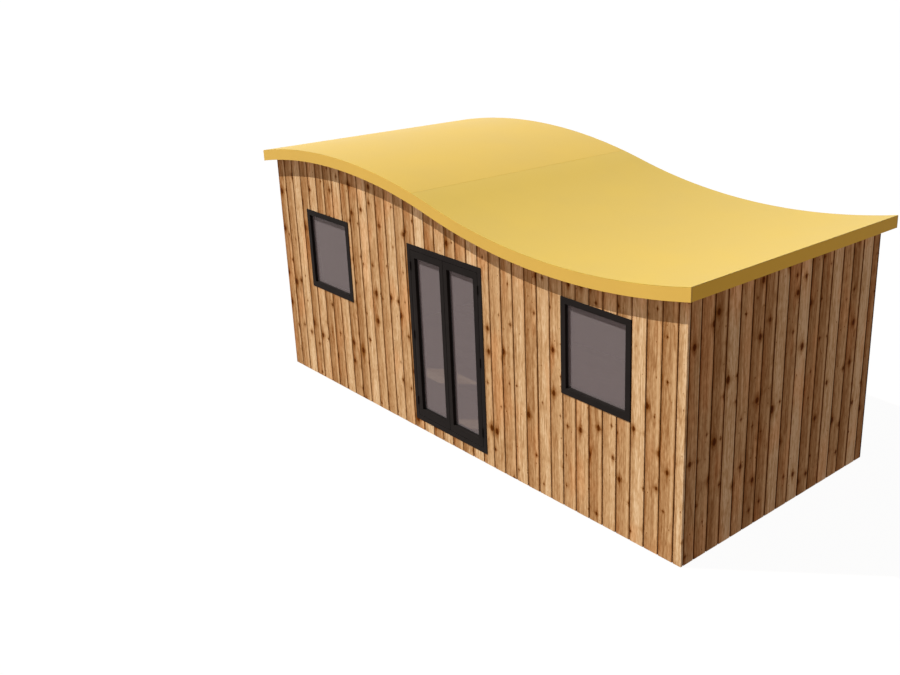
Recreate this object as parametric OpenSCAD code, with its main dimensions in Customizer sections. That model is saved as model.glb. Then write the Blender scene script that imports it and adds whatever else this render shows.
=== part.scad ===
// Holiday chalet: a timber cabin on a beam base, with vertical board cladding, two fixed
// windows, a pair of outward-opening glazed doors and a roof bent into one long wave.
// +Z is up, the doors face -Y, and the origin is under the middle of the building.

/* [Building] */
// Length over the cladding, along X
length = 6750; // [5600:50:8200]
// Depth over the cladding, along Y
depth = 3000; // [2400:50:3600]
// Thickness of the framed and lined wall panels
wall_t = 120; // [90:5:160]
// Thickness of the board cladding
clad_t = 25; // [18:1:32]
// Height that the cladding is held clear of the ground
clad_lift = 5; // [3:1:20]

/* [Base] */
// Height of the base beams
beam_h = 122; // [100:1:180]
// Width of the base beams
beam_w = 63; // [45:1:100]
// Depth of the floor joists
joist_h = 95; // [70:1:120]
// Width of the floor joists
joist_w = 45; // [38:1:60]
// Widest spacing of the floor joists
joist_pitch = 600; // [400:10:700]
// Thickness of the structural deck
deck_t = 22; // [18:1:30]
// Thickness of the floor boards
floor_t = 14; // [8:1:22]

/* [Roof] */
// Underside of the roof at the top of the wave
crest_z = 2873; // [2700:1:3100]
// Underside of the roof at the bottom of the wave
trough_z = 2420; // [2340:1:2600]
// Distance of the crest from the left corner
crest_in = 1440; // [1200:10:1700]
// Distance of the trough from the right corner
trough_in = 1560; // [1200:10:1800]
// Distance of the joint across the roof from the left corner
seam_in = 3030; // [2400:10:4200]
// Overhang of the roof past the cladding, all round
overhang = 108; // [60:1:200]
// Depth of the roof edge, cover included
roof_t = 130; // [100:1:180]
// Thickness of the moulded roof cover
cover_t = 6; // [3:1:12]
// Thickness of the fascia boards
fascia_t = 20; // [15:1:30]

/* [Openings] */
// Height of the window and door heads
head_z = 2220; // [2000:1:2280]
// Height of the window sills
sill_z = 1232; // [900:1:1500]
// Width of each window
window_w = 910; // [600:10:1200]
// Distance of each window from its corner
window_in = 646; // [400:1:900]
// Width over the door frame
door_w = 1280; // [1100:10:1500]

/* [Frames] */
// Distance that the frames stand proud of the cladding
proud = 6; // [0:1:15]
// Depth of the window frames, front to back
window_d = 100; // [90:1:120]
// Bevel on the window beads
bead_bevel = 8; // [2:1:10]
// Width of a window frame's face
window_face = 64; // [40:1:80]
// Depth of the door frame, front to back
door_d = 112; // [108:1:130]
// Width of the jambs' faces
jamb_face = 56; // [40:1:80]
// Width of the door head's face
head_face = 60; // [40:1:80]
// Height of the threshold's face
threshold_h = 58; // [40:1:80]
// Overlap of the frame's stops behind the leaves
stop_lap = 12; // [8:1:20]
// Distance from a frame's face back to the glass
glass_set = 35; // [28:1:60]
// Thickness of the glazing units
glass_t = 18; // [14:1:20]
// Depth of the grooves and rebates that hold the glass
groove = 12; // [11:1:18]

/* [Leaves] */
// Thickness of the door leaves
leaf_t = 78; // [76:1:84]
// Width of the stile at the hinges
hinge_stile = 72; // [55:1:100]
// Width of the stile where the leaves meet
meeting_stile = 61; // [50:1:90]
// Height of a leaf's top rail
top_rail = 79; // [55:1:110]
// Height of a leaf's bottom rail
bottom_rail = 84; // [70:1:180]
// Gap all round a leaf, and behind it
leaf_gap = 5; // [5:0.5:8]
// Gap between the leaves where they meet
meeting_gap = 5.5; // [5.5:0.5:9]
// Distance that a leaf's face sits behind the frame's face
leaf_set = 0; // [0:1:8]
// Bevel on the inner side of the meeting edges
meeting_bevel = 7; // [7:1:10]

/* [Hinges] */
// Length of a hinge
hinge_l = 100; // [80:1:130]
// Radius of the hinge knuckles
knuckle_r = 6; // [5:0.5:7]
// Radius of the hinge pins
pin_r = 2.5; // [2:0.1:3]
// Distance of the outer hinges from a leaf's ends
hinge_in = 180; // [120:5:300]
// Thickness of a hinge flap
flap_t = 2.5; // [2:0.5:3]
// Width of a hinge flap
flap_w = 30; // [24:1:40]

/* [Hidden] */

seat = 0.3;              // gap between curved faces that bear on each other
pin_fit = 0.05;          // radial clearance of a hinge pin
knuckle_gap = 0.3;       // end gap between hinge knuckles
pane_fit = 3;            // gap between a pane's edge and the bottom of its groove or rebate
flap_fit = 0.5;          // gap between a hinge flap and the knuckles that turn past it
cut = 10;                // how far a cutting tool runs past what it cuts
round_fn = 48;
wave_step = 60;          // length of the flats that make up the wave

// Building, worked out from its middle
end_x = length / 2;
face_y = depth / 2;
frame_x = end_x - clad_t;              // outside of the wall panels
frame_y = face_y - clad_t;
room_x = frame_x - wall_t;             // inside of the wall panels
room_y = frame_y - wall_t;
deck_z = beam_h + deck_t;              // walls stand here
floor_z = deck_z + floor_t;

// Roof wave: two arcs of one radius, tangent where they meet
crest_x = crest_in - end_x;
trough_x = end_x - trough_in;
seam_x = seam_in - end_x;
wave_l = trough_x - crest_x;
wave_h = crest_z - trough_z;
wave_r = (wave_l * wave_l + wave_h * wave_h) / (4 * wave_h);
wave_lean = wave_l / (2 * wave_r);     // sine of the slope where the arcs meet
roof_x = end_x + overhang;
roof_y = face_y + overhang;
edge_x = roof_x - fascia_t;            // outside of the roof panels, behind the fascias
edge_y = roof_y - fascia_t;
core_t = roof_t - cover_t - seat;

// Openings and frames
window_x = end_x - window_in - window_w / 2;
window_h = head_z - sill_z;
door_x = door_w / 2;
frame_face_y = -face_y - proud;
glass_y = frame_face_y + glass_set;
bead_y = glass_y + glass_t;            // back of the panes, where the beads bear
window_back_y = frame_face_y + window_d;

// Leaves
leaf_out = door_x - jamb_face - leaf_gap;      // hinge edge of a leaf
leaf_in = meeting_gap / 2;                     // meeting edge of a leaf
leaf_y = frame_face_y + leaf_set;              // outer face of a leaf
leaf_lo = beam_h + threshold_h + leaf_gap;
leaf_hi = head_z - head_face - leaf_gap;
leaf_h = leaf_hi - leaf_lo;
leaf_glass_y = leaf_y + glass_set - leaf_set;
stop_y = leaf_y + leaf_t + leaf_gap;           // front of the stops
stop_x = leaf_out - stop_lap;
pin_x = leaf_out + leaf_gap / 2;
pin_y = frame_face_y - knuckle_r - flap_fit;
hinge_zs = [leaf_lo + hinge_in, (leaf_lo + leaf_hi) / 2, leaf_hi - hinge_in];

// --- Helpers ---

// A box given by its low and high corners
module block(low, high) {
    translate(low) cube(high - low);
}

// Where the arcs meet, on the line that runs d above the underside of the roof
function turn_x(d) = (crest_x + trough_x) / 2 + d * wave_lean;

// Height at x of the line that runs d above the underside of the roof
function wave_z(x, d) = x < turn_x(d)
    ? crest_z - wave_r + sqrt(pow(wave_r + d, 2) - pow(x - crest_x, 2))
    : trough_z + wave_r - sqrt(pow(wave_r - d, 2) - pow(x - trough_x, 2));

// Points of that line from x0 to x1, at places along X that every piece shares
function wave_line(x0, x1, d) = [
    [x0, wave_z(x0, d)],
    for (i = [floor(x0 / wave_step) + 1 : ceil(x1 / wave_step) - 1])
        [i * wave_step, wave_z(i * wave_step, d)],
    [x1, wave_z(x1, d)]
];

function reversed(points) = [for (i = [len(points) - 1 : -1 : 0]) points[i]];

// Outline from z0 up to just under the roof
module under_wave(x0, x1, z0) {
    polygon(concat([[x1, z0], [x0, z0]], wave_line(x0, x1, -seat)));
}

// Outline of the roof from d0 to d1 above its underside
module roof_band(x0, x1, d0, d1) {
    polygon(concat(wave_line(x0, x1, d1), reversed(wave_line(x0, x1, d0))));
}

// Stands an outline up across the building and runs it from y0 to y1
module along_y(y0, y1) {
    translate([0, y1, 0]) rotate([90, 0, 0]) linear_extrude(y1 - y0) children();
}

// --- Base and floor ---

module base_beams() {
    color("saddlebrown") for (side = [-1, 1])
        block([-frame_x, side * (frame_y - beam_w / 2) - beam_w / 2, 0],
              [frame_x, side * (frame_y - beam_w / 2) + beam_w / 2, beam_h]);
}

module base_end_beams() {
    inner_y = frame_y - beam_w;
    color("saddlebrown") for (side = [-1, 1])
        block([side * (frame_x - beam_w / 2) - beam_w / 2, -inner_y, 0],
              [side * (frame_x - beam_w / 2) + beam_w / 2, inner_y, beam_h]);
}

module floor_joists() {
    inner_y = frame_y - beam_w;
    clear_x = 2 * (frame_x - beam_w);
    bays = ceil(clear_x / joist_pitch);
    color("burlywood") for (i = [1 : bays - 1])
        translate([-clear_x / 2 + i * clear_x / bays - joist_w / 2, -inner_y, beam_h - joist_h])
            cube([joist_w, 2 * inner_y, joist_h]);
}

// The deck stops behind the door frame, which stands on the front beam
module floor_deck() {
    color("tan") difference() {
        block([-frame_x, -frame_y, beam_h], [frame_x, frame_y, deck_z]);
        block([-door_x, -frame_y - cut, beam_h - cut], [door_x, frame_face_y + door_d, deck_z + cut]);
    }
}

module floor_boards() {
    color("wheat") block([-room_x, -room_y, deck_z], [room_x, room_y, floor_z]);
}

// --- Walls ---

// A piece of the front wall between two places along X, from the deck up
module front_panel(x0, x1, top) {
    color("linen") block([x0, -frame_y, deck_z], [x1, -room_y, top]);
}

module front_wall_left_pier() {
    front_panel(-frame_x, -window_x - window_w / 2, head_z);
}

module front_wall_left_apron() {
    front_panel(-window_x - window_w / 2, -window_x + window_w / 2, sill_z);
}

module front_wall_mid_left() {
    front_panel(-window_x + window_w / 2, -door_x, head_z);
}

module front_wall_mid_right() {
    front_panel(door_x, window_x - window_w / 2, head_z);
}

module front_wall_right_apron() {
    front_panel(window_x - window_w / 2, window_x + window_w / 2, sill_z);
}

module front_wall_right_pier() {
    front_panel(window_x + window_w / 2, frame_x, head_z);
}

// One long panel over every opening, which carries the front of the roof
module front_wall_head() {
    color("linen") along_y(-frame_y, -room_y) under_wave(-frame_x, frame_x, head_z);
}

module back_wall() {
    color("linen") along_y(room_y, frame_y) under_wave(-frame_x, frame_x, deck_z);
}

// A board or panel across one end, its top bevelled straight to lie just under the wave
module end_panel(x0, x1, half_y, z0) {
    drop = seat + pow(x1 - x0, 2) / (8 * wave_r);
    along_y(-half_y, half_y)
        polygon([[x0, z0], [x1, z0], [x1, wave_z(x1, 0) - drop], [x0, wave_z(x0, 0) - drop]]);
}

module left_wall() {
    color("linen") end_panel(-frame_x, -room_x, room_y, deck_z);
}

module right_wall() {
    color("linen") end_panel(room_x, frame_x, room_y, deck_z);
}

// --- Cladding ---

module front_cladding() {
    color("peru") difference() {
        along_y(-face_y, -frame_y) under_wave(-end_x, end_x, clad_lift);
        for (side = [-1, 1])
            translate([side * window_x - window_w / 2, -face_y - cut, sill_z])
                cube([window_w, clad_t + 2 * cut, window_h]);
        block([-door_x, -face_y - cut, beam_h], [door_x, -frame_y + cut, head_z]);
    }
}

module back_cladding() {
    color("peru") along_y(frame_y, face_y) under_wave(-end_x, end_x, clad_lift);
}

module left_cladding() {
    color("sienna") end_panel(-end_x, -frame_x, frame_y, clad_lift);
}

module right_cladding() {
    color("sienna") end_panel(frame_x, end_x, frame_y, clad_lift);
}

// --- Windows ---

// A box the size of the window on x, drawn in by inset all round, from y0 to y1
module window_block(x, inset, y0, y1) {
    block([x - window_w / 2 + inset, y0, sill_z + inset],
          [x + window_w / 2 - inset, y1, head_z - inset]);
}

// A fixed window: one frame, rebated from the inside for its pane
module window_frame(x) {
    color("#2e2b2d") difference() {
        window_block(x, 0, frame_face_y, window_back_y);
        window_block(x, window_face, frame_face_y - cut, window_back_y + cut);
        window_block(x, window_face - groove, glass_y, window_back_y + cut);
    }
}

module window_glass(x) {
    color("slategray", 0.5) window_block(x, window_face - groove + pane_fit, glass_y, bead_y);
}

// The beads that hold both panes in their rebates, with a bevel towards the room
module window_beads() {
    color("#2e2b2d") for (x = [-window_x, window_x]) difference() {
        window_block(x, window_face - groove, bead_y, window_back_y);
        window_block(x, window_face, bead_y - cut, window_back_y);
        hull() {
            window_block(x, window_face, bead_y, window_back_y - bead_bevel);
            window_block(x, window_face - bead_bevel, window_back_y, window_back_y + cut);
        }
    }
}

module left_window_frame() {
    window_frame(-window_x);
}

module left_window_glass() {
    window_glass(-window_x);
}

module right_window_frame() {
    window_frame(window_x);
}

module right_window_glass() {
    window_glass(window_x);
}

// --- Door frame ---

// Mirrors what is drawn for the right-hand side onto the side asked for: -1 left, 1 right
module on_side(side) {
    if (side < 0) mirror([1, 0, 0]) children();
    else children();
}

// Mortises for the hinge flaps, cut into a jamb or a leaf edge that faces along X
module flap_mortises(x) {
    for (z = hinge_zs)
        translate([x, pin_y + knuckle_r + flap_fit, z - hinge_l / 2]) cube([flap_t, flap_w, hinge_l]);
}

module door_jambs() {
    color("#2e2b2d") for (side = [-1, 1]) on_side(side) difference() {
        union() {
            block([door_x - jamb_face, frame_face_y, beam_h], [door_x, frame_face_y + door_d, head_z]);
            block([stop_x, stop_y, beam_h], [door_x, frame_face_y + door_d, head_z]);
        }
        flap_mortises(door_x - jamb_face);
    }
}

module door_head() {
    color("#2e2b2d") union() {
        block([-door_x + jamb_face, frame_face_y, head_z - head_face],
              [door_x - jamb_face, stop_y, head_z]);
        block([-stop_x, stop_y, leaf_hi - stop_lap], [stop_x, frame_face_y + door_d, head_z]);
    }
}

module door_threshold() {
    color("#2e2b2d") union() {
        block([-door_x + jamb_face, frame_face_y, beam_h],
              [door_x - jamb_face, stop_y, beam_h + threshold_h]);
        block([-stop_x, stop_y, beam_h], [stop_x, frame_face_y + door_d, leaf_lo + stop_lap]);
    }
}

// --- Door leaves ---

// The meeting edge leans back so that the leaf's inner corner clears the other leaf
module leaf_frame() {
    color("#2e2b2d") difference() {
        translate([0, 0, leaf_lo]) linear_extrude(leaf_h) polygon([
            [leaf_in, leaf_y],
            [leaf_out, leaf_y],
            [leaf_out, leaf_y + leaf_t],
            [leaf_in + meeting_bevel, leaf_y + leaf_t]
        ]);
        block([leaf_in + meeting_stile, leaf_y - cut, leaf_lo + bottom_rail],
              [leaf_out - hinge_stile, leaf_y + leaf_t + cut, leaf_hi - top_rail]);
        block([leaf_in + meeting_stile - groove, leaf_glass_y, leaf_lo + bottom_rail - groove],
              [leaf_out - hinge_stile + groove, leaf_glass_y + glass_t, leaf_hi - top_rail + groove]);
        flap_mortises(leaf_out - flap_t);
    }
}

module leaf_glass() {
    hold = groove - pane_fit;
    color("slategray", 0.5)
        block([leaf_in + meeting_stile - hold, leaf_glass_y, leaf_lo + bottom_rail - hold],
              [leaf_out - hinge_stile + hold, leaf_glass_y + glass_t, leaf_hi - top_rail + hold]);
}

module left_leaf_frame() {
    on_side(-1) leaf_frame();
}

module left_leaf_glass() {
    on_side(-1) leaf_glass();
}

module right_leaf_frame() {
    leaf_frame();
}

module right_leaf_glass() {
    leaf_glass();
}

// --- Hinges ---

knuckle_l = (hinge_l - 2 * knuckle_gap) / 3;
knuckle_step = knuckle_l + knuckle_gap;

// One knuckle, numbered up from 0, with the web that joins it to a flap towards x
module knuckle(i, toward) {
    translate([0, 0, -hinge_l / 2 + i * knuckle_step]) {
        cylinder(r = knuckle_r, h = knuckle_l, $fn = round_fn);
        translate([toward > 0 ? leaf_gap / 2 : -leaf_gap / 2 - flap_t, 0, 0])
            cube([flap_t, knuckle_r + flap_fit, knuckle_l]);
    }
}

module flap(toward) {
    translate([toward > 0 ? leaf_gap / 2 : -leaf_gap / 2 - flap_t, knuckle_r + flap_fit, -hinge_l / 2])
        cube([flap_t, flap_w, hinge_l]);
}

// The half on the jamb: two knuckles, the flap and the pin
module hinge_bases() {
    color("#232123") for (z = hinge_zs) translate([pin_x, pin_y, z]) union() {
        knuckle(0, 1);
        knuckle(2, 1);
        flap(1);
        translate([0, 0, -hinge_l / 2]) cylinder(r = pin_r, h = hinge_l, $fn = round_fn);
    }
}

// The half on the leaf: the middle knuckle, bored for the pin, and the flap
module hinge_wings() {
    color("#232123") for (z = hinge_zs) translate([pin_x, pin_y, z]) difference() {
        union() {
            knuckle(1, -1);
            flap(-1);
        }
        translate([0, 0, -hinge_l / 2 - cut])
            cylinder(r = pin_r + pin_fit, h = hinge_l + 2 * cut, $fn = round_fn);
    }
}

module left_hinge_bases() {
    on_side(-1) hinge_bases();
}

module left_hinge_wings() {
    on_side(-1) hinge_wings();
}

module right_hinge_bases() {
    hinge_bases();
}

module right_hinge_wings() {
    hinge_wings();
}

// --- Roof ---

module roof_panel_left() {
    color("cornsilk") along_y(-edge_y, edge_y) roof_band(-edge_x, seam_x, 0, core_t);
}

module roof_panel_right() {
    color("cornsilk") along_y(-edge_y, edge_y) roof_band(seam_x, edge_x, 0, core_t);
}

module roof_cover_left() {
    color("#e8c76a") along_y(-roof_y, roof_y) roof_band(-roof_x, seam_x, roof_t - cover_t, roof_t);
}

module roof_cover_right() {
    color("#e8c76a") along_y(-roof_y, roof_y) roof_band(seam_x, roof_x, roof_t - cover_t, roof_t);
}

// A fascia along the wave, bent over both arcs
module long_fascia(y0, y1) {
    color("#dbb34a") along_y(y0, y1) roof_band(-roof_x, roof_x, 0, core_t);
}

module front_fascia() {
    long_fascia(-roof_y, -edge_y);
}

module back_fascia() {
    long_fascia(edge_y, roof_y);
}

// A fascia across one end, between the ends of the long fascias
module end_fascia(x0, x1) {
    color("#dbb34a") along_y(-edge_y, edge_y) polygon([
        [x0, wave_z(x0, 0)],
        [x1, wave_z(x1, 0)],
        [x1, wave_z(x1, core_t)],
        [x0, wave_z(x0, core_t)]
    ]);
}

module left_fascia() {
    end_fascia(-roof_x, -edge_x);
}

module right_fascia() {
    end_fascia(edge_x, roof_x);
}

base_beams();
base_end_beams();
floor_joists();
floor_deck();
floor_boards();
front_wall_left_pier();
front_wall_left_apron();
front_wall_mid_left();
front_wall_mid_right();
front_wall_right_apron();
front_wall_right_pier();
front_wall_head();
back_wall();
left_wall();
right_wall();
front_cladding();
back_cladding();
left_cladding();
right_cladding();
left_window_frame();
left_window_glass();
right_window_frame();
right_window_glass();
window_beads();
door_jambs();
door_head();
door_threshold();
left_leaf_frame();
left_leaf_glass();
right_leaf_frame();
right_leaf_glass();
left_hinge_bases();
left_hinge_wings();
right_hinge_bases();
right_hinge_wings();
roof_panel_left();
roof_panel_right();
roof_cover_left();
roof_cover_right();
front_fascia();
back_fascia();
left_fascia();
right_fascia();
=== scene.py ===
import functools
import math
import random

import bmesh
import bpy
from mathutils import Matrix, Vector


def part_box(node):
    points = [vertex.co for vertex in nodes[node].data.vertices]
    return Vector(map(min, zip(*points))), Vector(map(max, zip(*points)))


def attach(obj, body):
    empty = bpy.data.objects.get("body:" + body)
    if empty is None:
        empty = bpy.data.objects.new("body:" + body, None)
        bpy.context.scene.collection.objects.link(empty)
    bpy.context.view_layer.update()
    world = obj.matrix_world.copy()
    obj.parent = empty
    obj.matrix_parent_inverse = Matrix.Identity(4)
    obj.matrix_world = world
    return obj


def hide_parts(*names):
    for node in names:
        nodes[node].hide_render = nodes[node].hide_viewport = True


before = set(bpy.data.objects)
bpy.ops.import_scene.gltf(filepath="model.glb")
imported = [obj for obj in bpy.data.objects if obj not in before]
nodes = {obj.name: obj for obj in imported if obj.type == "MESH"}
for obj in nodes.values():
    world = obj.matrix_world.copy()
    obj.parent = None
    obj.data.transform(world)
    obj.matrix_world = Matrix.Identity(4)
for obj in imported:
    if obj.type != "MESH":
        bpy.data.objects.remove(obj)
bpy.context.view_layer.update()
mm = 0.001
print("frame loaded,", len(nodes), "pieces")


# small helpers

def addObject(name, data):
    thing = bpy.data.objects.new(name, data)
    bpy.context.scene.collection.objects.link(thing)
    return thing


def meshOf(bm, name):
    # what a bmesh holds, as a mesh; the bmesh is used up
    mesh = bpy.data.meshes.new(name)
    bm.to_mesh(mesh)
    bm.free()
    return mesh


def linear(code):
    # sRGB hex to the linear colour that shaders take
    parts = [int(code[i:i + 2], 16) / 255 for i in (1, 3, 5)]
    return tuple(c / 12.92 if c <= 0.04045 else ((c + 0.055) / 1.055) ** 2.4 for c in parts) + (1.0,)


def feed(node, links):
    # sets or links a node's inputs, by name or in order; a node stands for its first output
    for socket, value in links.items() if isinstance(links, dict) else enumerate(links):
        if isinstance(value, bpy.types.Node):
            value = value.outputs[0]
        if isinstance(value, bpy.types.NodeSocket):
            node.id_data.links.new(value, node.inputs[socket])
        else:
            node.inputs[socket].default_value = value


def addNode(tree, kind, links=(), stops=(), **settings):
    # one node, its settings, what feeds it, and the stops of its ramp if it has one
    node = tree.nodes.new("ShaderNode" + kind)
    for name, value in settings.items():
        setattr(node, name, value)
    feed(node, links)
    for i, (place, colour) in enumerate(stops):
        ramp = node.color_ramp.elements
        stop = ramp[i] if i < 2 else ramp.new(place)
        stop.position = place
        stop.color = linear(colour)
    return node


def newMaterial(name, colour, roughness, inputs=None):
    # a material, its surface node, and the function that adds nodes to it
    material = bpy.data.materials.new(name)
    material.use_nodes = True
    material.diffuse_color = linear(colour)
    surface = material.node_tree.nodes["Principled BSDF"]
    feed(surface, {"Base Color": linear(colour), "Roughness": roughness, **(inputs or {})})
    return material, surface, functools.partial(addNode, material.node_tree)


# camera, lamps, world and floor

view = {
    "spot": (8.602, -7.781, 5.444),
    "azimuth": 45.32,
    "elevation": 19.25,
    "lens": 41.95,
    "sensorWidth": 36,
    "shift": (-0.1589, -0.0462),
    "clipEnd": 200,
}

cameraData = bpy.data.cameras.new("viewCamera")
cameraData.lens = view["lens"]
cameraData.sensor_width = view["sensorWidth"]
cameraData.shift_x, cameraData.shift_y = view["shift"]
cameraData.clip_end = view["clipEnd"]
camera = addObject("viewCamera", cameraData)
camera.location = view["spot"]
camera.rotation_euler = (math.radians(90 - view["elevation"]), 0, math.radians(view["azimuth"]))
bpy.context.scene.camera = camera

light = {
    "sunTravel": (1.14, 1.0, -1.87),    # from the front left, and high
    "sunStrength": 4.1,
    "sunSize": 0.6,                     # degrees across, so shadows keep a clean edge
    "fillTravel": (0.5, 1.0, -0.35),    # a wide weak lamp on the front alone
    "fillStrength": 0.48,
    "fillSize": 60,
    "sky": "#F7EFE7",
    "skyStrength": 0.215,
    "floorSize": 200,
    "floorGlow": 0.9,                   # how much of the floor's white is its own
    "floorWhite": 1.07,                 # and how strong that white is
    "floorLift": "#AA9B9A",             # the colour with which it lights the walls from below
}


def addLamp(name):
    data = bpy.data.lights.new(name, "SUN")
    data.energy = light[name + "Strength"]
    data.angle = math.radians(light[name + "Size"])
    lamp = addObject(name, data)
    lamp.rotation_euler = Vector(light[name + "Travel"]).to_track_quat("-Z", "Y").to_euler()


addLamp("sun")
addLamp("fill")


def seenDirectly(add):
    # 1 for what the camera, a gloss or a pane of glass shows, 0 for light that falls on things
    rays = add("LightPath").outputs
    glossy = add("Math", [rays["Is Camera Ray"], rays["Is Glossy Ray"]], operation="MAXIMUM")
    return add("Math", [glossy, rays["Is Transmission Ray"]], operation="MAXIMUM")


def fillWorld():
    # a soft warm sky for light, plain white to look at
    world = bpy.data.worlds.new("studio")
    world.use_nodes = True
    world.node_tree.nodes.clear()
    add = functools.partial(addNode, world.node_tree)
    soft = add("Background", [linear(light["sky"]), light["skyStrength"]])
    white = add("Background", [(1, 1, 1, 1), 1.0])
    both = add("MixShader", [seenDirectly(add), soft, white])
    add("OutputWorld", {"Surface": both})
    bpy.context.scene.world = world
    bpy.context.scene.view_settings.view_transform = "Standard"


def floorPaper():
    # white paper sweep, bright enough to vanish, that still takes the building's shadow
    material, surface, add = newMaterial("floorPaper", "#B0A69F", 0.9, {"Specular IOR Level": 0.0})
    tint = add("MixRGB", [seenDirectly(add), linear(light["floorLift"]), (1, 1, 1, 1)])
    glow = add("Emission", [tint, light["floorWhite"]])
    both = add("MixShader", [light["floorGlow"], surface, glow])
    feed(material.node_tree.nodes["Material Output"], {"Surface": both})
    return material


def makeFloor():
    bm = bmesh.new()
    bmesh.ops.create_grid(bm, x_segments=1, y_segments=1, size=light["floorSize"] / 2)
    mesh = meshOf(bm, "studioFloor")
    mesh.materials.append(floorPaper())
    floor = addObject("studioFloor", mesh)


fillWorld()
makeFloor()
print("camera, sun and floor set")


# materials; a range is from and to in what drives it, then the value at each end

woodGrain = {
    "jump": (37.0, 91.0, 0.0),       # how far a seed of 1 moves a board's pattern
    "streak": (15 * mm, 1.3),        # width and length of the soft light and dark stripes
    "mottle": (17 * mm, 0.07),
    "fibre": (3.5 * mm, 0.22),       # drawn coarser than real fibres, so that it shows
    "cloud": (60 * mm, 0.30),
    "figure": (0.11, 1.7),
    "rings": 9,                      # growth lines from one side of a figure to the other
    "lateWood": (0.70, 1.0, 0.0, 1.0),
    # one knot at most in each cell; missing is the share of cells with none, dark boards first
    "knots": {"cell": (0.15, 0.43), "radii": (6 * mm, 30 * mm), "missing": (0.25, 0.75),
              "ragged": 13 * mm},
    "pins": {"cell": (0.075, 0.24), "radii": (2.5 * mm, 6 * mm), "missing": (0.65, 0.85),
             "ragged": 2 * mm},
    "boardTones": (0.27, 0.58),      # a dark and a pale board's, between which missing changes
    "largeRare": 1.7,                # above 1, large knots are rarer than small ones
    "knotShape": (1.0, 0.6, 0.0),    # across and along the board; below 1 is longer that way
    "raggedScale": 45.0,
    "flowShape": (1.0, 0.28, 0.0),   # the same for the grain that parts round a knot
    "flowSlack": 0.4,                # above 0, the grain turns softly at a knot's middle
    "driftScale": 1.1,               # slow bends of the grain from side to side
    "drift": (0.045, -0.022),        # how far they swing, and where they start
    # painted shade and light across each board: darker down its left half and lighter towards its right,
    # darker still along its left edge, in its rebate and at its right edge beside the joint
    "leftHalfPaintedShade": (10 * mm, 75 * mm, 0.78, 1.0),
    "rightHalfPaintedLight": (75 * mm, 150 * mm, 1.0, 1.10),
    "leftShade": (5 * mm, 27 * mm, 0.62, 1.0),
    "rebateShade": (11 * mm, 14 * mm, 0.20, 1.0),
    "rightShade": (168 * mm, 174 * mm, 0.0, 0.35),
    "cloudShade": (0.3, 0.7, 0.86, 1.14),
    "streakShade": (0.22, 0.78, 0.73, 1.24),
    "mottleShade": (0.25, 0.75, 0.76, 1.22),
    "fibreShade": (0.3, 0.7, 0.93, 1.06),
    "ringShade": (0.0, 1.0, 1.03, 0.78),
    # a pale sapwood strip along each board's right edge, in patches, which is also a painted highlight
    # of that edge
    "sapHighlightScale": 2.4,                 # how often the pale sapwood comes and goes
    "sapHighlightPresent": (0.36, 0.46, 0.1, 0.9),
    "sapHighlightRagged": (0.2, 0.8, 8 * mm, -8 * mm),
    "sapHighlightLeft": (128 * mm, 140 * mm, 0.0, 1.0),
    "sapHighlightRight": (160 * mm, 166 * mm, 1.0, 0.0),
    "sapHighlightLevel": (0.2, 0.8, 0.40, 0.54),
    "knotHalo": (1.0, 2.6, 0.60, 1.0),
    "lowHalo": (0.8, 2.2, 0.82, 1.0),
    "lowShape": (0.4, 1.5, 0.0),     # wide and low, for the dark to each side of a knot
    "knotCore": (0.60, 1.15, 0.93, 0.0),
    "pinCore": (0.7, 1.6, 0.75, 0.0),
    "tailLength": (0.8, 2.2, 0.4, 0.0),
    "tailWidth": (4 * mm, 14 * mm, 1.0, 0.0),
    # the levels to which tails, knot cores, pin knots and the painted shade at a board's right edge,
    # beside the joint, turn the wood
    "darks": {"tail": 0.10, "core": 0.03, "pins": 0.05, "right": 0.08},
    "top": 0.62,                     # the level at which the colours end
    "colours": [(0.02, "#331301"), (0.05, "#502202"), (0.09, "#663306"), (0.16, "#7F4C1B"),
                (0.26, "#956436"), (0.435, "#B38556"), (0.68, "#D0A675"), (1.0, "#EBC99C")],
    "redScale": (3.5, 1.1, 1.0),
    "redShare": (0.48, 0.75, 0.0, 1.0),
    "redTint": (1.06, 0.93, 0.84),
    "ringHeight": -0.5,
    "knotHeight": 0.6,
    "bump": {"Strength": 0.25, "Distance": 0.8 * mm},
    "roughness": (0.0, 1.0, 0.72, 0.60),
}


def boardPlace(add, jump):
    # where a point lies on its board, its place in the board's own pattern, and the board's tone
    uv = add("UVMap", uv_map="grain")
    seed = add("Attribute", attribute_name="boardSeed").outputs["Fac"]
    tone = add("Attribute", attribute_name="boardTone").outputs["Fac"]
    shift = add("VectorMath", {0: jump, "Scale": seed}, operation="SCALE")
    return uv, add("VectorMath", [uv, shift], operation="ADD"), tone


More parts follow.
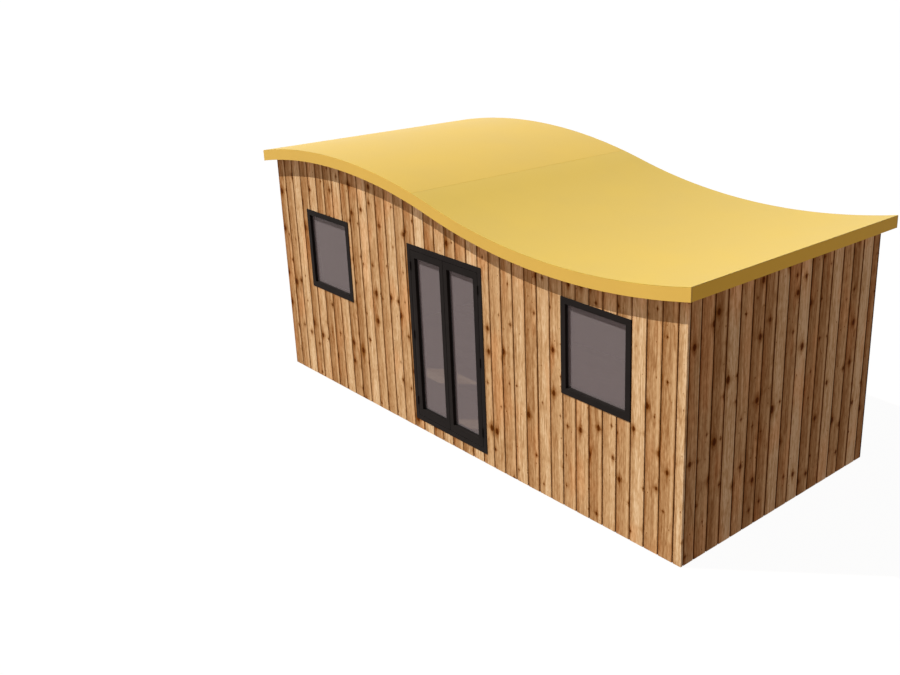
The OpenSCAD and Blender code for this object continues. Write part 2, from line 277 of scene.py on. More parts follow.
def oiledSoftwood():
    # knotty larch boards, planed and oiled. One number, how light the wood is, is worked out
    # from each board's own tone, its stripes, growth lines and knots, painted shade down its left
    # half, along its left edge, in its rebate and beside the joint on its right, painted light
    # towards its right, and pale sapwood on the right that is also a painted highlight of that
    # edge; a ramp of the wood's colours then turns that number into colour
    material, surface, add = newMaterial("oiledLarchBoards", "#C89A66", 0.66,
                                         {"Specular IOR Level": 0.02})
    grain = woodGrain
    smooth = {"interpolation_type": "SMOOTHSTEP"}
    uv, place, tone = boardPlace(add, grain["jump"])
    across = add("SeparateXYZ", [uv]).outputs["X"]

    def distanceIn(vector, shape, reach):
        # how far out a point lies in a squeezed circle, in knot radii
        squeezed = add("VectorMath", [vector, shape], operation="MULTIPLY")
        far = add("VectorMath", [squeezed], operation="LENGTH").outputs["Value"]
        return add("Math", [far, reach], operation="DIVIDE")

    def knots(cell, radii, missing, ragged):
        # distance to the nearest knot in knot radii, the vector from its middle, its radius
        size = cell + (1.0,)
        cells = add("VectorMath", [place, size], operation="DIVIDE")
        nearest = add("TexVoronoi", {"Vector": cells, "Scale": 1.0, "Randomness": 0.85},
                      voronoi_dimensions="2D").outputs
        apart = add("VectorMath", [cells, nearest["Position"]], operation="SUBTRACT")
        metres = add("VectorMath", [apart, size], operation="MULTIPLY")
        wobble = add("TexNoise", {"Vector": place, "Scale": grain["raggedScale"], "Detail": 2.0},
                     noise_dimensions="2D").outputs["Color"]
        bent = add("VectorMath", [wobble, (0.5, 0.5, 0.5)], operation="SUBTRACT")
        bent = add("VectorMath", {0: bent, "Scale": ragged}, operation="SCALE")
        metres = add("VectorMath", [metres, bent], operation="ADD")
        pick = add("SeparateColor", [nearest["Color"]])
        fewest = add("MapRange", [tone, *grain["boardTones"], *missing])
        there = add("Math", [pick, fewest], operation="GREATER_THAN")
        rank = add("MapRange", [pick, fewest, 1.0, 0.0, 1.0])
        rank = add("Math", [rank, grain["largeRare"]], operation="POWER")
        reach = add("MapRange", [rank, 0.0, 1.0, *radii])
        reach = add("Math", [reach, there], operation="MULTIPLY")
        reach = add("Math", [reach, 0.1 * mm])      # never zero, because it divides
        return distanceIn(metres, grain["knotShape"], reach), metres, reach

    ratio, metres, reach = knots(**grain["knots"])
    pinRatio = knots(**grain["pins"])[0]
    longRatio = distanceIn(metres, grain["flowShape"], reach)
    lowRatio = distanceIn(metres, grain["lowShape"], reach)

    # the grain parts round each knot and closes again above and below it
    side = add("SeparateXYZ", [metres]).outputs["X"]
    wide = add("Math", [side], operation="ABSOLUTE")
    slack = add("Math", [reach, grain["flowSlack"], wide], operation="MULTIPLY_ADD")
    turn = add("Math", [side, slack], operation="DIVIDE")
    fade = add("Math", [0.5, longRatio], operation="POWER")
    push = add("Math", [turn, fade], operation="MULTIPLY")
    push = add("Math", [push, reach], operation="MULTIPLY")
    wander = add("TexNoise", {"Vector": place, "Scale": grain["driftScale"], "Detail": 1.0},
                 noise_dimensions="2D")
    drift = add("Math", [wander, *grain["drift"]], operation="MULTIPLY_ADD")
    spread = add("SeparateXYZ", [place]).outputs
    flow = add("Math", [spread["X"], push], operation="SUBTRACT")
    flow = add("Math", [flow, drift])
    flowing = add("CombineXYZ", [flow, spread["Y"]])

    def stretched(size, detail):
        scaled = add("VectorMath", [flowing, size + (1.0,)], operation="DIVIDE")
        return add("TexNoise", {"Vector": scaled, "Scale": 1.0, "Detail": detail},
                   noise_dimensions="2D")

    streaks = stretched(grain["streak"], 3.0)
    mottle = stretched(grain["mottle"], 3.0)
    fibres = stretched(grain["fibre"], 2.0)
    clouds = stretched(grain["cloud"], 1.0)
    figure = stretched(grain["figure"], 0.5)
    rings = add("Math", [figure, grain["rings"]], operation="MULTIPLY")
    rings = add("Math", [rings, 1.0], operation="PINGPONG")
    late = add("MapRange", [rings, *grain["lateWood"]], **smooth)

    # how light the wood is, with the painted shade and light across each board
    level = tone
    for value, shade, settings in (
            (across, "leftHalfPaintedShade", smooth), (across, "rightHalfPaintedLight", smooth),
            (across, "leftShade", smooth), (across, "rebateShade", smooth),
            (clouds, "cloudShade", {}), (streaks, "streakShade", {}),
            (mottle, "mottleShade", {}), (fibres, "fibreShade", {}), (late, "ringShade", smooth)):
        factor = add("MapRange", [value, *grain[shade]], **settings)
        level = add("Math", [level, factor], operation="MULTIPLY")

    # pale sapwood along each board's right edge, in patches, which is also a painted highlight of that
    # edge
    patches = add("TexNoise", {"Vector": place, "Scale": grain["sapHighlightScale"], "Detail": 2.0},
                  noise_dimensions="2D")
    present = add("MapRange", [patches, *grain["sapHighlightPresent"]], **smooth)
    edge = add("Math", [across, add("MapRange", [streaks, *grain["sapHighlightRagged"]])])
    sapHighlight = add("Math", [add("MapRange", [edge, *grain["sapHighlightLeft"]], **smooth),
                       add("MapRange", [across, *grain["sapHighlightRight"]], **smooth)],
              operation="MULTIPLY")
    sapHighlight = add("Math", [sapHighlight, present], operation="MULTIPLY")
    sapHighlightLevel = add("MapRange", [mottle, *grain["sapHighlightLevel"]])
    level = add("Mix", {0: sapHighlight, 2: level, 3: sapHighlightLevel})

    for value, halo in ((ratio, "knotHalo"), (lowRatio, "lowHalo")):
        factor = add("MapRange", [value, *grain[halo]], **smooth)
        level = add("Math", [level, factor], operation="MULTIPLY")
    # knot tails, cores and pin knots darken the wood; right is the painted shade at a board's right
    # edge, beside the joint
    shares = {
        "tail": add("Math", [add("MapRange", [longRatio, *grain["tailLength"]], **smooth),
                             add("MapRange", [wide, *grain["tailWidth"]], **smooth)],
                    operation="MULTIPLY"),
        "core": add("MapRange", [ratio, *grain["knotCore"]], **smooth),
        "pins": add("MapRange", [pinRatio, *grain["pinCore"]], **smooth),
        "right": add("MapRange", [across, *grain["rightShade"]], **smooth),
    }
    for name, share in shares.items():
        level = add("Mix", {0: share, 2: level, 3: grain["darks"][name]})

    # the wood's colours, from the darkest, in knot cores and in the painted shade beside a joint, to
    # pale sapwood, redder in places
    brightness = add("Math", [level, grain["top"]], operation="DIVIDE")
    colours = add("ValToRGB", [brightness], grain["colours"])
    warm = add("VectorMath", [place, grain["redScale"]], operation="MULTIPLY")
    warm = add("TexNoise", {"Vector": warm, "Scale": 1.0, "Detail": 2.0}, noise_dimensions="2D")
    redness = add("MapRange", [warm, *grain["redShare"]], **smooth)
    tinted = add("VectorMath", [colours, grain["redTint"]], operation="MULTIPLY")

    height = add("Math", [streaks, fibres])
    height = add("Math", [late, grain["ringHeight"], height], operation="MULTIPLY_ADD")
    height = add("Math", [shares["core"], grain["knotHeight"], height], operation="MULTIPLY_ADD")
    feed(surface, {"Base Color": add("MixRGB", [redness, colours, tinted]),
                   "Normal": add("Bump", {"Height": height, **grain["bump"]}),
                   "Roughness": add("MapRange", [streaks, *grain["roughness"]])})
    return material


def shaded(add, colour, value, span):
    # a colour that a value makes lighter and darker
    share = add("MapRange", [value, *span])
    return add("VectorMath", {0: colour, "Scale": share}, operation="SCALE")


def roughened(add, spot, size, depth, strength):
    # the fine unevenness of a finish: how wide, how deep and how strong
    peel = add("TexNoise", {"Vector": spot, "Scale": 1 / size, "Detail": 2.0})
    return add("Bump", {"Height": peel, "Strength": strength, "Distance": depth})


gelcoatLook = {
    "cloudScale": 1.3,
    "cloudShade": (0.3, 0.7, 0.975, 1.02),
    "roughness": (0.0, 1.0, 0.38, 0.48),
    "peel": (6 * mm, 0.4 * mm, 0.10),
}


def gelcoat(name, colour, gloss):
    # glass-fibre moulding with a satin gelcoat: even yellow, faintly cloudy, a soft sky gloss
    material, surface, add = newMaterial(name, colour, 0.45, {"Specular IOR Level": gloss})
    spot = add("TexCoord").outputs["Object"]
    cloud = add("TexNoise", {"Vector": spot, "Scale": gelcoatLook["cloudScale"], "Detail": 3.0})
    feed(surface, {"Base Color": shaded(add, linear(colour)[:3], cloud, gelcoatLook["cloudShade"]),
                   "Normal": roughened(add, spot, *gelcoatLook["peel"]),
                   "Roughness": add("MapRange", [cloud, *gelcoatLook["roughness"]])})
    return material


powderLook = {
    "dustScale": 4.0,
    "dustShade": (0.35, 0.75, 0.92, 1.18),
    "peel": (1.5 * mm, 0.15 * mm, 0.15),
}


def powderCoat(name, colour, roughness):
    # aluminium under a black powder coat: near black, matt, with the coat's fine orange peel
    material, surface, add = newMaterial(name, colour, roughness, {"Specular IOR Level": 0.03})
    spot = add("TexCoord").outputs["Object"]
    dust = add("TexNoise", {"Vector": spot, "Scale": powderLook["dustScale"], "Detail": 4.0})
    feed(surface, {"Base Color": shaded(add, linear(colour)[:3], dust, powderLook["dustShade"]),
                   "Normal": roughened(add, spot, *powderLook["peel"])})
    return material


glassWave = {"scale": 3.0, "bump": {"Strength": 0.02, "Distance": 1 * mm}}


def floatGlass(name, colour, share):
    # float glass: smooth, with a faint draw wave; share is how much of the view its tint takes
    material, surface, add = newMaterial(name, colour, 0.03,
                                         {"Specular IOR Level": 0.1, "Alpha": share})
    spot = add("TexCoord").outputs["Object"]
    wave = add("TexNoise", {"Vector": spot, "Scale": glassWave["scale"], "Detail": 1.0})
    feed(surface, {"Normal": add("Bump", {"Height": wave, **glassWave["bump"]})})
    return material


def rubberSeal():
    # extruded black rubber: dull, a little lighter in patches about 20 mm wide, where it was handled
    material, surface, add = newMaterial("blackRubberSeal", "#1B1A1B", 0.75)
    spot = add("TexCoord").outputs["Object"]
    mark = add("TexNoise", {"Vector": spot, "Scale": 1 / (20 * mm), "Detail": 3.0})
    feed(surface, {"Base Color": add("MixRGB", [mark, linear("#141314"), linear("#232122")])})
    return material


def spacerBar():
    # mill-finished aluminium spacer in a glazing unit: dull silver, mill marks about 1 mm wide
    material, surface, add = newMaterial("millAluminium", "#8E9092", 0.45, {"Metallic": 1.0})
    spot = add("TexCoord").outputs["Object"]
    line = add("TexNoise", {"Vector": spot, "Scale": 1 / (1 * mm), "Detail": 2.0})
    feed(surface, {"Roughness": add("MapRange", [line, 0.0, 1.0, 0.36, 0.55])})
    return material


boardLook = {
    "sheetLength": 1.2,
    "jointShade": (0.0, 25 * mm, 0.975, 1.0),
    "patchScale": 1.2,
    "patchShade": (0.3, 0.7, 0.96, 1.03),
    "stipple": (3 * mm, 0.3 * mm, 0.2),
}


def paintedBoard(name, colour):
    # lining board with a rolled matt emulsion: fine stipple, faint taped joints
    material, surface, add = newMaterial(name, colour, 0.82)
    spot = add("TexCoord").outputs["Object"]
    patch = add("TexNoise", {"Vector": spot, "Scale": boardLook["patchScale"], "Detail": 3.0})
    shade = add("MapRange", [patch, *boardLook["patchShade"]])
    along = add("SeparateXYZ", [spot]).outputs["X"]
    sheet = add("Math", [along, boardLook["sheetLength"] / 2], operation="PINGPONG")
    joint = add("MapRange", [sheet, *boardLook["jointShade"]])
    both = add("Math", [shade, joint], operation="MULTIPLY")
    tint = add("VectorMath", {0: linear(colour)[:3], "Scale": both}, operation="SCALE")
    feed(surface, {"Base Color": tint, "Normal": roughened(add, spot, *boardLook["stipple"])})
    return material


timberLook = {"rings": 9.0, "bump": {"Strength": 0.25, "Distance": 0.6 * mm}}


def plainTimber(name, early, late, stretch, roughness):
    # sawn or sanded timber seen only from below and at edges: grain along one axis, no knots
    material, surface, add = newMaterial(name, early, roughness)
    spot = add("TexCoord").outputs["Object"]
    scaled = add("VectorMath", [spot, stretch], operation="DIVIDE")
    grain = add("TexNoise", {"Vector": scaled, "Scale": 1.0, "Detail": 4.0, "Roughness": 0.6})
    ring = add("Math", [grain, timberLook["rings"]], operation="MULTIPLY")
    ring = add("Math", [ring, 1.0], operation="PINGPONG")
    feed(surface, {"Base Color": add("MixRGB", [ring, linear(early), linear(late)]),
                   "Normal": add("Bump", {"Height": ring, **timberLook["bump"]})})
    return material


oakLook = {
    "jump": (23.0, 57.0, 0.0),
    "pores": (9 * mm, 0.5, 1.0),
    "poreShade": (0.3, 0.7, 0.86, 1.08),
    "palest": "#C9AD8C",
    "darkest": "#A58563",
    "bump": {"Strength": 0.15, "Distance": 0.3 * mm},
}


def lacqueredOak():
    # oak floor boards under a matt lacquer: mid brown, straight grain, each board its own tone
    material, surface, add = newMaterial("lacqueredOak", "#B89A78", 0.45)
    place, tone = boardPlace(add, oakLook["jump"])[1:]
    scaled = add("VectorMath", [place, oakLook["pores"]], operation="DIVIDE")
    pores = add("TexNoise", {"Vector": scaled, "Scale": 1.0, "Detail": 4.0}, noise_dimensions="2D")
    body = add("MixRGB", [tone, linear(oakLook["palest"]), linear(oakLook["darkest"])])
    feed(surface, {"Base Color": shaded(add, body, pores, oakLook["poreShade"]),
                   "Normal": add("Bump", {"Height": pores, **oakLook["bump"]})})
    return material


larch = oiledSoftwood()
# the roof sheets are darker copies of the fascias' yellow, painted shade against the strong sun on the
# roof; the left sheet is a touch paler than the right, painted light and shade that marks the seam
roofLeftPaintedShadeCopy = gelcoat("yellowGelcoatHighSheetPaintedShade", "#D3B047", 0.25)
roofRightPaintedShadeCopy = gelcoat("yellowGelcoatLowSheetPaintedShade", "#CEAE46", 0.25)
# the end fascias take a brighter and warmer copy of the edge yellow, painted light for the right end,
# which stands in shade
edgeYellow = gelcoat("yellowGelcoatEdge", "#E0B757", 0.05)
endYellowPaintedLight = gelcoat("yellowGelcoatEndPaintedLight", "#F0C24A", 0.05)
blackCoat = powderCoat("blackPowderCoat", "#231F1D", 0.65)
outerGlass = floatGlass("greyTintedGlass", "#988B8A", 0.38)
innerGlass = floatGlass("clearGlass", "#8A8884", 0.05)
rubber = rubberSeal()
spacer = spacerBar()
wallPaint = paintedBoard("whiteWallBoard", "#DAD4CA")
ceilingPly = plainTimber("birchPlyCeiling", "#DCC6A2", "#CDB48C", (0.9, 0.05, 0.05), 0.6)
deckPly = plainTimber("sprucePlyDeck", "#C7A877", "#A98A5C", (0.6, 0.03, 0.03), 0.75)
treatedBeam = plainTimber("treatedSoftwood", "#86734D", "#66542F", (0.9, 0.02, 0.02), 0.85)
oak = lacqueredOak()
print("materials made")


# shaping and finishing of pieces

shaping = {
    "weld": 0.01 * mm,          # corners closer than this are one
    "near": 0.1 * mm,           # well under any real size, to pick edges by their height
    "flat": 0.1,                # degrees up to which two faces are one
    "easedFrom": 40,            # degrees from which an edge is rounded
    "sharpFrom": 12,            # degrees from which an edge is shaded as one
}


def finishMesh(name, mesh, material, body, replaced=()):
    # an object that rides on its body, smooth except across real edges
    mesh.materials.clear()
    mesh.materials.append(material)
    mesh.polygons.foreach_set("use_smooth", [True] * len(mesh.polygons))
    mesh.set_sharp_from_angle(angle=math.radians(shaping["sharpFrom"]))
    piece = addObject(name, mesh)
    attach(piece, body)
    if replaced:
        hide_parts(*replaced)


def finishPiece(name, bm, material, body, replaced=()):
    finishMesh(name, meshOf(bm, name), material, body, replaced)


def joinFlats(bm, weld):
    bmesh.ops.remove_doubles(bm, verts=bm.verts, dist=weld)
    bmesh.ops.dissolve_limit(bm, angle_limit=math.radians(shaping["flat"]), verts=bm.verts,
                             edges=bm.edges)


def mergedCopy(node):
    # a CAD piece as clean faces, ready to be worked on
    bm = bmesh.new()
    bm.from_mesh(nodes[node].data)
    joinFlats(bm, shaping["weld"])
    return bm


def pourInto(whole, part):
    # adds one bmesh's faces to another; the first is used up
    lone = meshOf(part, "part")
    whole.from_mesh(lone)
    bpy.data.meshes.remove(lone)


def cutAway(bm, start, away, snap):
    # takes off what lies beyond a plane, and gives the edges left along the cut; corners nearer
    # to the plane than snap count as on it
    cut = bmesh.ops.bisect_plane(bm, geom=bm.verts[:] + bm.edges[:] + bm.faces[:], plane_co=start,
                                 plane_no=away, dist=snap, clear_outer=True)
    return [e for e in cut["geom_cut"] if isinstance(e, bmesh.types.BMEdge)]


def roundOff(bm, edges, radius, segments):
    bmesh.ops.bevel(bm, geom=edges, affect="EDGES", offset=radius, segments=segments,
                    profile=0.5, material=-1, clamp_overlap=True)


def easeEdges(bm, radius):
    limit = math.radians(shaping["easedFrom"])
    roundOff(bm, [e for e in bm.edges if e.is_manifold and e.calc_face_angle() > limit], radius, 2)


def easedPiece(node, material, body, radius):
    bm = mergedCopy(node)
    easeEdges(bm, radius)
    finishPiece(node + "_finished", bm, material, body, [node])


def addBox(bm, low, high):
    made = bmesh.ops.create_cube(bm, size=1)
    size = Vector(high) - Vector(low)
    middle = (Vector(high) + Vector(low)) / 2
    bmesh.ops.scale(bm, vec=size, verts=made["verts"])
    bmesh.ops.translate(bm, vec=middle, verts=made["verts"])
    return made["verts"]


def pull(bm, faces, vec):
    # extrudes faces: the given ones stay as the near end, and the far end moves by vec
    pulled = bmesh.ops.extrude_face_region(bm, geom=faces, use_keep_orig=True)["geom"]
    far = [v for v in pulled if isinstance(v, bmesh.types.BMVert)]
    bmesh.ops.translate(bm, vec=vec, verts=far)


def addRing(bm, low, high, width):
    # a flat frame that stands in the wall's plane, from low to high, cut out by its width
    flat = bmesh.ops.create_grid(bm, x_segments=1, y_segments=1, size=0.5)["verts"]
    bmesh.ops.rotate(bm, cent=(0, 0, 0), matrix=Matrix.Rotation(math.radians(90), 3, "X"), verts=flat)
    bmesh.ops.scale(bm, vec=(high[0] - low[0], 1, high[2] - low[2]), verts=flat)
    bmesh.ops.translate(bm, vec=((low[0] + high[0]) / 2, low[1], (low[2] + high[2]) / 2), verts=flat)
    face = flat[0].link_faces[0]
    rim = bmesh.ops.inset_region(bm, faces=[face], thickness=width, use_boundary=True,
                                 use_even_offset=True)["faces"]
    bmesh.ops.delete(bm, geom=[face], context="FACES_ONLY")
    pull(bm, rim, (0, high[1] - low[1], 0))
    bmesh.ops.recalc_face_normals(bm, faces=bm.faces)


def markBoards(mesh, boards, locate):
    # gives each face its board's seed and tone, and each corner its place across and along it
    grain = mesh.uv_layers.new(name="grain")
    seeds = mesh.attributes.new("boardSeed", "FLOAT", "FACE")
    tones = mesh.attributes.new("boardTone", "FLOAT", "FACE")
    for face in mesh.polygons:
        number = locate(face.center, None)[0]
        seeds.data[face.index].value, tones.data[face.index].value = boards[number]
        for loop in face.loop_indices:
            point = mesh.vertices[mesh.loops[loop].vertex_index].co
            grain.data[loop].uv = locate(point, number)[1:]


# cladding

cladding = {
    "pitch": 179.5 * mm,
    "firstOnEnds": 146.5 * mm,       # the end walls' first board is a narrower one
    "narrowest": 20 * mm,
    "gap": 0.8 * mm,
    "channel": (11 * mm, 9 * mm),    # rebate beside each joint: how wide, how deep
    "arris": 2.5 * mm,
    "outOfLine": 1.5 * mm,           # how far a board's face may stand back from the next
    "underRoof": 0.5 * mm,
    "beyond": 0.1,                   # how far cuts and uncut boards run past what they meet
    "darkTones": (0.263, 0.390),
    "paleTones": (0.412, 0.609),
    "darkBelow": 0.341,
    "paleAfterDark": 0.8,            # how often a pale board follows a dark one
    "seeds": (272034, 274835, 25, 26),      # for the front, right, back and left walls
}

roofLine = {}       # heights of the roof's underside, read off the front fascia's own corners
for corner in nodes["front_fascia"].data.vertices:
    cornerX, cornerZ = round(corner.co.x, 5), round(corner.co.z, 5)
    roofLine[cornerX] = min(cornerZ, roofLine.get(cornerX, cornerZ))
roofStations = sorted(roofLine)


def roofUnderside(x):
    right = next((s for s in roofStations[1:] if s >= x), roofStations[-1])
    left = roofStations[roofStations.index(right) - 1]
    share = (x - left) / (right - left)
    return roofLine[left] + share * (roofLine[right] - roofLine[left])


def makeBoard(width, depth, faceBack, foot, top):
    # one board standing at the origin: x across it, y out of the wall, z up
    bm = bmesh.new()
    face = depth - faceBack
    channelWide, channelDeep = cladding["channel"]
    outline = [(0, 0), (width, 0), (width, face), (channelWide, face),
               (channelWide, face - channelDeep), (0, face - channelDeep)]
    end = bm.faces.new([bm.verts.new((x, y, foot)) for x, y in outline])
    pull(bm, [end], (0, 0, top - foot))
    near = shaping["near"]
    arrises = [e for e in bm.edges if abs(e.verts[0].co.z - e.verts[1].co.z) > near
               and e.verts[0].co.y > face - near]
    roundOff(bm, arrises, cladding["arris"], 2)
    return bm


def cladWall(name, node, quarterTurns, firstJoint, openings=()):
    # boards from left to right as seen from outside; the wall is turned into place at the end
    low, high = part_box(node)
    turn = Matrix.Rotation(math.radians(90 * quarterTurns), 4, "Z")
    inward = turn.inverted()
    corners = [inward @ low, inward @ high]
    left = min(c.x for c in corners)
    right = max(c.x for c in corners)
    outer = min(c.y for c in corners)
    depth = abs(corners[0].y - corners[1].y)
    rand = random.Random(cladding["seeds"][quarterTurns])
    joints = [left]
    while joints[-1] < right - cladding["narrowest"]:
        joints.append(min(right, left + firstJoint + (len(joints) - 1) * cladding["pitch"]))
    boards = []
    whole = bmesh.new()
    for start, stop in zip(joints, joints[1:]):
        faceBack = rand.uniform(0, cladding["outOfLine"])
        board = makeBoard(stop - start - cladding["gap"], depth, faceBack, low.z,
                          high.z + cladding["beyond"])
        bmesh.ops.scale(board, vec=(1, -1, 1), verts=board.verts)
        bmesh.ops.reverse_faces(board, faces=board.faces)
        bmesh.ops.translate(board, vec=(start, outer + depth, 0), verts=board.verts)
        bmesh.ops.transform(board, matrix=turn, verts=board.verts)
        xs = [v.co.x for v in board.verts]
        slope = roofUnderside(max(xs)) - roofUnderside(min(xs))
        top = Vector((min(xs), 0, roofUnderside(min(xs)) - cladding["underRoof"]))
        away = Vector((-slope, 0, max(xs) - min(xs))).normalized()
        bmesh.ops.edgeloop_fill(board, edges=cutAway(board, top, away, 0.0))
        bmesh.ops.recalc_face_normals(board, faces=board.faces)
        pourInto(whole, board)
        wasDark = boards and boards[-1][1] < cladding["darkBelow"]
        turnsPale = wasDark and rand.random() < cladding["paleAfterDark"]
        tones = cladding["paleTones" if turnsPale else "darkTones"]
        boards.append((rand.random(), rand.uniform(*tones)))
    mesh = meshOf(whole, name)
    if openings:
        mesh = cutOpenings(mesh, openings)

    def locate(point, number):
        spot = inward @ point
        if number is None:
            number = max(i for i in range(len(boards)) if joints[i] <= spot.x + shaping["weld"])
        return number, spot.x - joints[number], spot.z

    markBoards(mesh, boards, locate)
    finishMesh(name, mesh, larch, "building", [node])


def cutOpenings(mesh, openings):
    bm = bmesh.new()
    for low, high in openings:
        addBox(bm, low, high)
    cutter = addObject("openingCutter", meshOf(bm, "openingCutter"))
    boards = addObject("uncutBoards", mesh)
    saw = boards.modifiers.new("openings", "BOOLEAN")
    saw.object = cutter
    saw.operation = "DIFFERENCE"
    saw.solver = "EXACT"
    bpy.context.view_layer.update()
    done = bpy.data.meshes.new_from_object(boards.evaluated_get(bpy.context.evaluated_depsgraph_get()))
    for thing in (cutter, boards):
        bpy.data.objects.remove(thing)
    return done


def openingBox(*names):
    # the hole in the cladding that a frame fills, run out past both faces of the boards
    boxes = [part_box(n) for n in names]
    low = [min(b[0][i] for b in boxes) for i in range(3)]
    high = [max(b[1][i] for b in boxes) for i in range(3)]
    skinLow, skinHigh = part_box("front_cladding")
    beyond = cladding["beyond"]
    return (low[0], skinLow.y - beyond, low[2]), (high[0], skinHigh.y + beyond, high[2])


cladWall("front_boards", "front_cladding", 0, cladding["pitch"],
         [openingBox("left_window_frame"), openingBox("right_window_frame"),
          openingBox("door_jambs", "door_head", "door_threshold")])
cladWall("right_boards", "right_cladding", 1, cladding["firstOnEnds"])
cladWall("back_boards", "back_cladding", 2, cladding["pitch"])
cladWall("left_boards", "left_cladding", 3, cladding["firstOnEnds"])
print("cladding boards made")


# roof

roofEdges = {"cover": 2.5 * mm, "fascia": 1.5 * mm, "panel": 1 * mm}       # radii

for side, cover in (("left", roofLeftPaintedShadeCopy), ("right", roofRightPaintedShadeCopy)):
    easedPiece("roof_cover_" + side, cover, "building", roofEdges["cover"])
for side, finish in (("front", edgeYellow), ("back", edgeYellow),
                     ("left", endYellowPaintedLight), ("right", endYellowPaintedLight)):
    easedPiece(side + "_fascia", finish, "building", roofEdges["fascia"])
for side in ("left", "right"):
    easedPiece("roof_panel_" + side, ceilingPly, "building", roofEdges["panel"])
print("roof made")


# windows and doors

glazing = {
    "hold": 9 * mm,             # how far a pane reaches into its frame
    "sheet": 4 * mm,            # one sheet of a double unit
    "spacerWide": 11 * mm,
    "gasketWide": 5 * mm,
    "gasketProud": 2.5 * mm,
    "leafBead": (9 * mm, 5 * mm),       # bead outside a leaf's pane: how wide, how proud
    "sillBead": (11 * mm, 22 * mm, 7 * mm),     # under a window's pane: high, deep, fall
    "frameEdge": 1.2 * mm,
    "mitreEdge": 0.6 * mm,
    "mitreWeld": 0.1 * mm,      # corners that a cut leaves closer than this become one
}


def mitredPiece(node, glassNode, body):
    # four members cut on the line from outer to inner corner, so that the joints show
    low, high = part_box(node)
    paneLow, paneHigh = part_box(glassNode)
    hold = glazing["hold"]
    outer = [(low.x, low.z), (high.x, low.z), (high.x, high.z), (low.x, high.z)]
    inner = [(paneLow.x + hold, paneLow.z + hold), (paneHigh.x - hold, paneLow.z + hold),
             (paneHigh.x - hold, paneHigh.z - hold), (paneLow.x + hold, paneHigh.z - hold)]
    inwards = [Vector(d) for d in ((0, 0, 1), (-1, 0, 0), (0, 0, -1), (1, 0, 0))]
    whole = bmesh.new()
    for i in range(4):
        member = mergedCopy(node)
        cuts = [((low + high) / 2, inwards[i])]
        for corner, side in ((i, -1), ((i + 1) % 4, 1)):
            start = Vector((outer[corner][0], 0, outer[corner][1]))
            along = Vector((inner[corner][0], 0, inner[corner][1])) - start
            cuts.append((start, Vector((along.z, 0, -along.x)).normalized() * side))
        for start, away in cuts:
            rim = cutAway(member, start, away, shaping["weld"])
            bmesh.ops.holes_fill(member, edges=[e for e in rim if e.is_valid and e.is_boundary], sides=0)
        joinFlats(member, glazing["mitreWeld"])
        bmesh.ops.recalc_face_normals(member, faces=member.faces)
        easeEdges(member, glazing["mitreEdge"])
        pourInto(whole, member)
    finishPiece(node + "_mitred", whole, blackCoat, body, [node])


def glazingUnit(name, node, body, beadWide=0.0):
    # two sheets of glass, the spacer between them, and the rubber that beds them on both sides;
    # outside, the rubber lies beyond the bead if there is one
    low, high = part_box(node)
    sheet = glazing["sheet"]
    bm = bmesh.new()
    addBox(bm, low, (high.x, low.y + sheet, high.z))
    finishPiece(name + "_outer_sheet", bm, outerGlass, body, [node])
    bm = bmesh.new()
    addBox(bm, (low.x, high.y - sheet, low.z), high)
    finishPiece(name + "_inner_sheet", bm, innerGlass, body)
    bm = bmesh.new()
    addRing(bm, (low.x, low.y + sheet, low.z), (high.x, high.y - sheet, high.z), glazing["spacerWide"])
    finishPiece(name + "_spacer", bm, spacer, body)
    bm = bmesh.new()
    hold = glazing["hold"]
    proud = glazing["gasketProud"]
    for y0, y1, inset in ((low.y - proud, low.y, hold + beadWide), (high.y, high.y + proud, hold)):
        addRing(bm, (low.x + inset, y0, low.z + inset), (high.x - inset, y1, high.z - inset),
                glazing["gasketWide"])
    finishPiece(name + "_gaskets", bm, rubber, body)


def leafBead(side):
    # the square bead round the outside of a leaf's pane
    low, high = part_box(side + "_leaf_glass")
    hold = glazing["hold"]
    wide, proud = glazing["leafBead"]
    bm = bmesh.new()
    addRing(bm, (low.x + hold, low.y - proud, low.z + hold), (high.x - hold, low.y, high.z - hold), wide)
    finishPiece(side + "_leaf_bead", bm, blackCoat, side + "_leaf")


def sillBead(side):
    # the bead under a window's pane, which slopes outwards to shed rain
    low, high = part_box(side + "_window_glass")
    hold = glazing["hold"]
    tall, deep, fall = glazing["sillBead"]
    bm = bmesh.new()
    verts = addBox(bm, (low.x + hold, low.y - deep, low.z + hold),
                   (high.x - hold, low.y, low.z + hold + tall))
    outer = [v for v in verts if v.co.z > low.z + hold + tall / 2 and v.co.y < low.y - deep / 2]
    bmesh.ops.translate(bm, vec=(0, 0, -fall), verts=outer)
    easeEdges(bm, glazing["mitreEdge"])
    finishPiece(side + "_sill_bead", bm, blackCoat, "building")


for side in ("left", "right"):
    mitredPiece(side + "_window_frame", side + "_window_glass", "building")
    glazingUnit(side + "_window", side + "_window_glass", "building")
    sillBead(side)
    mitredPiece(side + "_leaf_frame", side + "_leaf_glass", side + "_leaf")
    glazingUnit(side + "_leaf", side + "_leaf_glass", side + "_leaf", glazing["leafBead"][0])
    leafBead(side)
for node in ("door_jambs", "door_head", "door_threshold", "window_beads"):
    easedPiece(node, blackCoat, "building", glazing["frameEdge"])
print("windows and doors made")


# floor boards

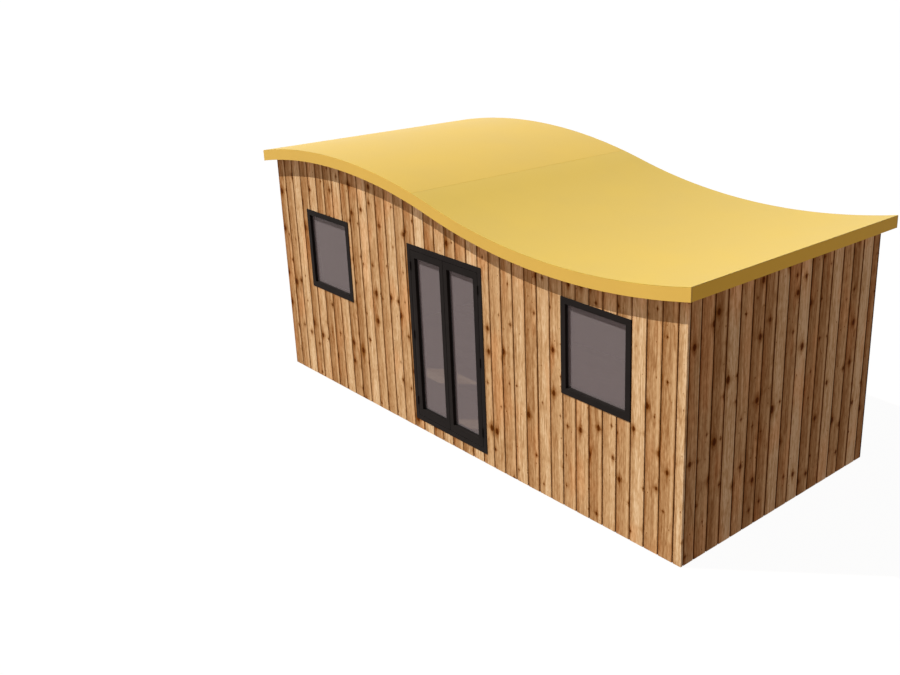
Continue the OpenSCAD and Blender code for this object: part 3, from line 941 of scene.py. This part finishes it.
planks = {
    "width": 142 * mm,
    "lengths": (1.1, 1.9),
    "firstShare": (0.3, 1.0),       # a row starts with this share of the longest length
    "shortest": 0.3,
    "gap": 0.6 * mm,
    "arris": 0.8 * mm,
    "seed": 5,
}


def layPlanks():
    low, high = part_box("floor_boards")
    rand = random.Random(planks["seed"])
    rows = round((high.y - low.y) / planks["width"])
    width = (high.y - low.y) / rows
    gap = planks["gap"]
    bm = bmesh.new()
    joints, boards, first = [], [], []
    for row in range(rows):
        y = low.y + row * width
        cuts = [low.x]
        step = rand.uniform(*planks["firstShare"]) * planks["lengths"][1]
        while cuts[-1] + step < high.x - planks["shortest"]:
            cuts.append(cuts[-1] + step)
            step = rand.uniform(*planks["lengths"])
        cuts.append(high.x)
        first.append(len(boards))
        joints.append(cuts)
        for x0, x1 in zip(cuts, cuts[1:]):
            addBox(bm, (x0, y, low.z), (x1 - gap, y + width - gap, high.z))
            boards.append((rand.random(), rand.random()))
    tops = [e for e in bm.edges if all(v.co.z > high.z - shaping["near"] for v in e.verts)]
    roundOff(bm, tops, planks["arris"], 1)
    mesh = meshOf(bm, "floor_planks")

    def locate(point, number):
        row = min(rows - 1, max(0, int((point.y - low.y) / width)))
        cuts = joints[row]
        piece = max(i for i in range(len(cuts) - 1) if cuts[i] <= point.x + shaping["weld"])
        if number is None:
            number = first[row] + piece
        return number, point.y - low.y, point.x

    markBoards(mesh, boards, locate)
    finishMesh("floor_planks", mesh, oak, "building", ["floor_boards"])


layPlanks()
print("floor laid")


# what keeps its CAD shape

finishes = {
    wallPaint: ["front_wall_left_pier", "front_wall_left_apron", "front_wall_mid_left",
                "front_wall_mid_right", "front_wall_right_apron", "front_wall_right_pier",
                "front_wall_head", "back_wall", "left_wall", "right_wall"],
    deckPly: ["floor_deck"],
    treatedBeam: ["base_beams", "base_end_beams", "floor_joists"],
    blackCoat: ["left_hinge_bases", "left_hinge_wings", "right_hinge_bases", "right_hinge_wings"],
}
for material, names in finishes.items():
    for name in names:
        for place in nodes[name].material_slots:
            place.material = material
print("finishes given")
